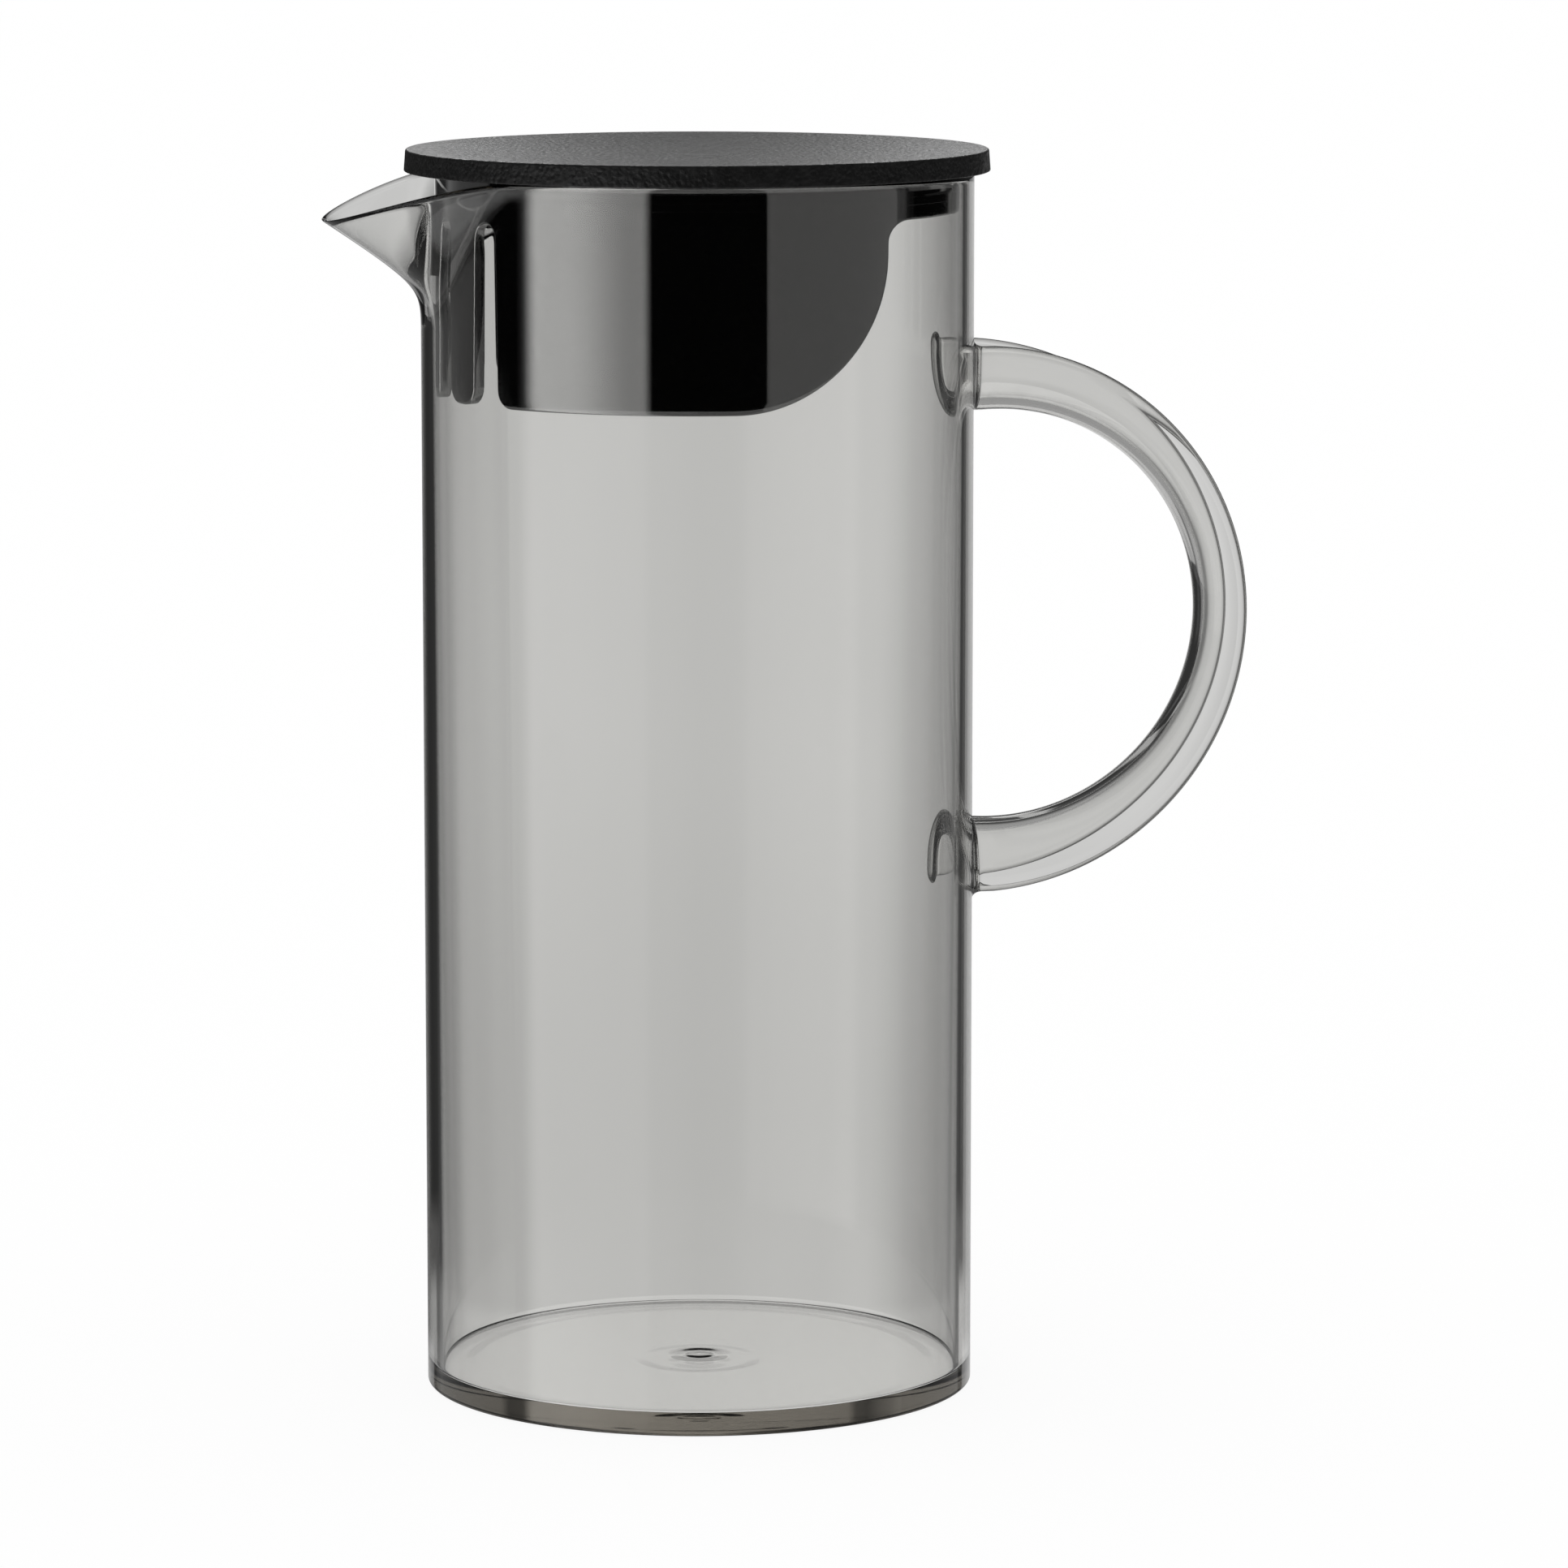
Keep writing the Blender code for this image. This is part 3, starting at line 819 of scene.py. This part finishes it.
studio = {
    "sheetLevel": 0.645,
    "mirrorStops": (  # level at each bearing, in degrees round from straight behind, as reflections see it
        (-57, 0.19), (-53, 0.20), (-46, 0.28), (-41, 0.38), (-35, 0.05), (-19, 0.03), (-15, 0.08),
        (-10, 0.33), (-7, 0.62), (-3, 1.25), (3, 1.25), (6, 1.10), (12, 0.88), (20, 0.62), (23.5, 0.48),
        (25, 0.08), (35, 0.08), (41, 0.40), (53, 0.55), (57, 0.20)),
    "footStops": (  # the same near the table
        (-38, 0.62), (-35.6, 0.45), (-32.5, 0.33), (-29.6, 0.15), (-26.9, 0.22), (-25.2, 0.70), (-20, 0.80),
        (-13, 0.90), (0, 1.0), (18, 1.15), (22, 1.12), (29.5, 0.95), (31.5, 0.18), (35.6, 0.13), (38, 0.50)),
    "clearStops": (  # and as it shows straight through the plastic
        (-30, 1.0), (-27, 0.32), (-16, 0.36), (-12.5, 0.70), (-9, 0.90), (-6.3, 0.90), (-4.9, 0.95),
        (-4.2, 0.89), (-3.9, 0.89), (-3.6, 1.0), (-2.6, 0.985), (-0.6, 1.035), (-0.33, 0.99), (0.43, 0.985),
        (0.6, 1.03), (2.6, 1.025), (3.0, 1.075), (3.8, 1.06), (4.5, 0.985), (5.4, 0.88), (7.7, 0.74),
        (11.5, 0.69), (14, 0.60), (16, 0.32), (27, 0.30), (30, 1.0)),
    "stopRange": 60.0,
    "footBelow": (12.4, 12.8, 22.0, 26.0),  # degrees below the horizon where they start and end
    "footAbove": (11.8, 12.1, 14.5, 16.0),  # and above it
    "sideEnd": 78.0,
    "sideSoft": 3.0,
    "rightShade": (42.0, 46.0),  # bearings from where the right side is dark
    "sideRange": (4.6, 5.6),  # degrees below the horizon where it gets light
    "lowerLevel": 0.925,
    "lowerRange": (8.2, 11.0),
    "tableLevel": 1.09,
    "tableRange": (12.58, 12.78),
    "leftRise": (99.0, 108.0),
    "leftLean": (122.0, 153.0),
    "leanLoss": 0.5,
    "leftFall": (156.0, 161.0),
    "leftLevel": 1.95,
    "rightBox": (85.0, 150.0),
    "rightLevel": 0.31,
    "rightEdge": (79.0, 85.0),
    "rightEdgeLevel": 0.10,
    "rightSoft": 1.5,
    "dark": 0.004,
    "scatter": 0.9,  # what lights matt surfaces
    "ceiling": (-2.5, 1.5),  # degrees above the horizon over which reflections go dark
    "ceilingLevel": 0.03,
    "overhead": (20.0, 36.0),  # and over which they get light again
    "overheadLevel": 0.30,
    "steep": (16.0, 20.0),  # degrees below the horizon from where it is plain grey
    "steepLevel": 0.5,
    "floorReach": 6.0,
    "floorDrop": 0.0002,
    "floorPaint": 0.85,
    "floorShade": 0.12,
    "floorWhite": 1.03,
    "patchDrop": 0.0001,
    "patchSteps": 96,
    "topPower": 0.163,
    "topSize": (0.05, 0.12),
    "topHeight": 0.16,
    "topBehind": 0.25,
    "topAside": 0.072,
}


def bearings(wire, place):
    # degrees round from straight behind the jug, rightwards, their size, and degrees above the horizon
    away = wire.node("VectorMath", {"operation": "DOT_PRODUCT"}, {0: place, 1: -towardsCamera}, 1)
    aside = wire.node("VectorMath", {"operation": "DOT_PRODUCT"}, {0: place, 1: toTheRight}, 1)
    turn = wire.math("ARCTAN2", aside, away) * degrees(1)
    rise = wire.math("ARCSINE", wire.node("SeparateXYZ", None, {0: place}, 2)) * degrees(1)
    return turn, wire.math("ABSOLUTE", turn), rise


def window(turn, low, high, soft):
    begun = turn.between(low - soft / 2, low + soft / 2)
    return begun * (1 - turn.between(high - soft / 2, high + soft / 2))


def ledge(slope, start, begun, ending, end):
    return slope.between(start, begun) * (1 - slope.between(ending, end))


def levels(wire, turn, stops):
    # straight lines between the stops
    reach = studio["stopRange"]
    ramp = [((bearing + reach) / (2 * reach), grey(level)) for bearing, level in stops]
    return wire.node("ValToRGB", {"stops": ramp}, {0: turn / (2 * reach) + 0.5}) * 1.0


def mirrored(wire, turn, size, rise):
    # what reflections see
    s = studio
    leftward = 0 - turn
    fall = 0 - rise
    foot = ledge(fall, *s["footBelow"]) + ledge(rise, *s["footAbove"])
    below = 1 - rise.between(*s["ceiling"])
    lit = wire.math("MAXIMUM", 1 - turn.between(*s["rightShade"]), fall.between(*s["sideRange"]))
    rear = levels(wire, turn, s["mirrorStops"]) * lit * below
    rear = rear * (1 - size.between(s["sideEnd"] - s["sideSoft"], s["sideEnd"]))
    rear = rear + fall.between(*s["steep"]) * (s["steepLevel"] - rear)
    rear = rear + foot * (levels(wire, turn, s["footStops"]) - rear)
    left = leftward.between(*s["leftRise"]) * (1 - leftward.between(*s["leftFall"])) * s["leftLevel"]
    left = left * (1 - leftward.between(*s["leftLean"]) * s["leanLoss"])
    right = window(turn, *s["rightBox"], s["rightSoft"]) * s["rightLevel"]
    edge = window(turn, *s["rightEdge"], s["rightSoft"]) * s["rightEdgeLevel"]
    above = rise.between(*s["overhead"]) * s["overheadLevel"] + s["ceilingLevel"]
    front = (left + right + edge) * below + (1 - below) * above
    return rear * s["sheetLevel"] + front + s["dark"]


def passed(wire, turn, rise):
    # what shows straight through the plastic
    s = studio
    fall = 0 - rise
    down = 1 + fall.between(*s["lowerRange"]) * (s["lowerLevel"] - 1)
    down = down + fall.between(*s["tableRange"]) * (s["tableLevel"] - s["lowerLevel"])
    return levels(wire, turn, s["clearStops"]) * down * s["sheetLevel"]


def makeWorld():
    s = studio
    world = bpy.data.worlds.new("studio")
    scene.world = world
    world.cycles.sampling_method = "NONE"
    wire = emptyTree(world)
    turn, size, rise = bearings(wire, wire.node("TexCoord", out="Generated"))
    kinds = wire.node("LightPath").socket.node.outputs
    seen = Wire(wire.tree, kinds["Is Camera Ray"])
    scattered = Wire(wire.tree, kinds["Is Diffuse Ray"])
    unturned = 1 - wire.math("MINIMUM", Wire(wire.tree, kinds["Glossy Depth"]), 1.0)
    straight = Wire(wire.tree, kinds["Is Transmission Ray"]) * unturned
    level = seen + straight * passed(wire, turn, rise) + scattered * s["scatter"]
    level = level + (1 - seen - straight - scattered) * mirrored(wire, turn, size, rise)
    sky = wire.node("Background", None, {"Color": grey(1.0), "Strength": level})
    wire.node("OutputWorld", None, {"Surface": sky})


def stageMaterial(name, mesh):
    material = bpy.data.materials.new(name)
    material.cycles.emission_sampling = "NONE"
    mesh.materials.append(material)
    return emptyTree(material)


def makeFloor():
    s = studio
    far = s["floorReach"]
    mesh = gridMesh("floor", [[(-far, -far, 0), (far, -far, 0)], [(-far, far, 0), (far, far, 0)]])
    floor = bpy.data.objects.new("floor", mesh)
    scene.collection.objects.link(floor)
    floor.location.z = -s["floorDrop"]
    floor.visible_glossy = False  # reflections and the clear plastic show the sheet
    floor.visible_transmission = False
    wire = stageMaterial("paleFloor", mesh)
    seen = Wire(wire.tree, wire.node("LightPath").socket.node.outputs["Is Camera Ray"])
    glow = wire.node("Emission", None, {"Color": grey(1.0), "Strength": s["floorWhite"]})
    paint = wire.node("BsdfDiffuse", None, {"Color": grey(s["floorPaint"])})
    mixed = wire.node("MixShader", None, {0: seen * (1 - s["floorShade"]), 1: paint, 2: glow})
    wire.node("OutputMaterial", None, {"Surface": mixed})


def makeTablePatch():
    # the table under the jug, as it shows through the clear floor
    s = studio
    profile = [(jugBody["gateEye"], 0.0), (jugRadius - jugBody["footRound"], 0.0)]
    mesh = gridMesh("tablePatch", turnedRings(profile, s["patchSteps"]), closed=True)
    patch = bpy.data.objects.new("tablePatch", mesh)
    scene.collection.objects.link(patch)
    patch.location.z = -s["patchDrop"]
    patch.visible_camera = False
    patch.visible_diffuse = False
    patch.visible_glossy = False
    patch.visible_shadow = False
    wire = stageMaterial("tablePatch", mesh)
    level = s["tableLevel"] * s["sheetLevel"]
    glow = wire.node("Emission", None, {"Color": grey(1.0), "Strength": level})
    wire.node("OutputMaterial", None, {"Surface": glow})


def makeTopLight(name, aside, receivers):
    s = studio
    data = bpy.data.lights.new(name, "AREA")
    data.shape = "RECTANGLE"
    data.size, data.size_y = s["topSize"]
    data.energy = s["topPower"]
    light = bpy.data.objects.new(name, data)
    scene.collection.objects.link(light)
    aim = Vector((0, 0, brim))
    above = Vector((0, 0, s["topHeight"]))
    light.location = aim + above + toTheRight * aside - towardsCamera * s["topBehind"]
    light.rotation_euler = (aim - light.location).to_track_quat("-Z", "Y").to_euler()
    light.light_linking.receiver_collection = receivers


makeCamera()
makeWorld()
makeFloor()
makeTablePatch()
lidOnly = bpy.data.collections.new("lidOnly")
lidOnly.objects.link(lidTop)
makeTopLight("topLightLeft", -studio["topAside"], lidOnly)
makeTopLight("topLightRight", studio["topAside"], lidOnly)
scene.view_settings.view_transform = "Standard"
print("studio ready")
